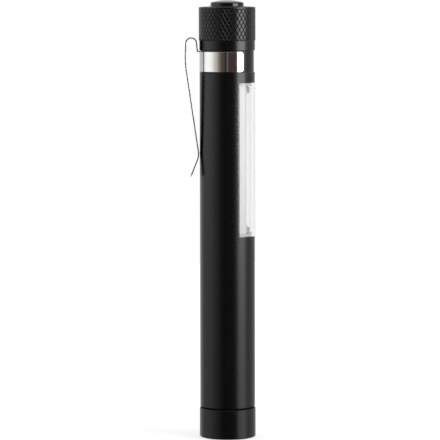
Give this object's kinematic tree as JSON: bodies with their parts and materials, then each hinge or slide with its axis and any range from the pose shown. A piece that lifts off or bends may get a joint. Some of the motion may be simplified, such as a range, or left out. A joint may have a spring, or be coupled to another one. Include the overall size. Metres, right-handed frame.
{
  "type": "penlight",
  "caption": "Pen-shaped light with a front lamp, a strip lamp under a half-round side window, a knurled tail cap with a push switch, and a swivelling spring clip.",
  "frame": {"origin": "centre of the head ring's front rim, on the plane that the light stands on", "axes": "+Z along the tube towards the push button, +X towards the side window, -X towards the clip"},
  "size_m": [0.0234, 0.0188, 0.145],
  "materials": {
    "black_anodised": "satin black anodised",
    "bare_aluminium": "turned",
    "black_rubber": "matte",
    "button_rubber": "smooth",
    "clear_lens": "polished",
    "clear_window": "polished clear moulding",
    "reflector_chrome": "vacuum metallised",
    "phosphor": "cured silicone",
    "white_plastic": "moulded",
    "white_board": "solder mask",
    "green_board": "solder mask",
    "black_plastic": "moulded",
    "ivory_plastic": "moulded",
    "lead_wire": "insulated wire",
    "contact_steel": "nickel plated",
    "clip_chrome": "bright plated spring steel",
    "brass_ring": "turned",
    "cell_jacket": "plain printed film on a metal can"
  },
  "bodies": {
    "barrel": {"barrel": "black_anodised", "head_bezel": "black_anodised", "head_gasket": "black_rubber", "lens_seal": "black_rubber", "front_lens": "clear_lens", "reflector": "reflector_chrome", "front_led": "phosphor", "led_board": "bare_aluminium", "led_leads": "lead_wire", "heat_sink": "bare_aluminium", "driver_board": "green_board", "driver_parts": "black_plastic", "positive_spring": "contact_steel", "battery_sleeve": "black_plastic", "lower_cell": "cell_jacket", "upper_cell": "cell_jacket", "strip_leads": "lead_wire", "reflector_tray": "white_plastic", "strip_board": "white_board", "glow_strip": "phosphor", "window_lens": "clear_window", "neck_seal": "black_rubber"},
    "clip": {"clip_band": "clip_chrome"},
    "clip_arm": {"clip_arm": "clip_chrome"},
    "tail_spring": {"tail_spring": "contact_steel"},
    "tail_cap": {"tail_cap": "black_anodised", "switch_retainer": "brass_ring", "switch_housing": "black_plastic", "switch_board": "green_board", "plunger_spring": "contact_steel"},
    "button": {"push_button": "button_rubber", "switch_plunger": "ivory_plastic"}
  },
  "joints": [
    {"name": "cap_rise", "type": "slide", "parent": "barrel", "child": "tail_spring", "axis": [0, 0, 1], "range_m": [0, 0.004]},
    {"name": "cap_turn", "type": "hinge", "parent": "tail_spring", "child": "tail_cap", "pos_m": [0, 0, 0.12845], "axis": [0, 0, 1], "range_deg": [0, 1440]},
    {"name": "button_press", "type": "slide", "parent": "tail_cap", "child": "button", "axis": [0, 0, -1], "range_m": [0, 0.0015], "stiffness_N_per_m": 600, "springref_m": -0.0015, "deforming": ["plunger_spring"]},
    {"name": "clip_swivel", "type": "hinge", "parent": "barrel", "child": "clip", "pos_m": [0, 0, 0.125], "axis": [0, 0, 1], "continuous": true},
    {"name": "clip_flex", "type": "hinge", "parent": "clip", "child": "clip_arm", "pos_m": [-0.01184, 0, 0.13085], "axis": [0, 1, 0], "range_deg": [0, 8], "stiffness_Nm_per_rad": 0.4, "springref_deg": -2.86}
  ],
  "couplings": [
    {"joint": "cap_turn", "follows": "cap_rise", "rad_per_m": 6283.2}
  ]
}
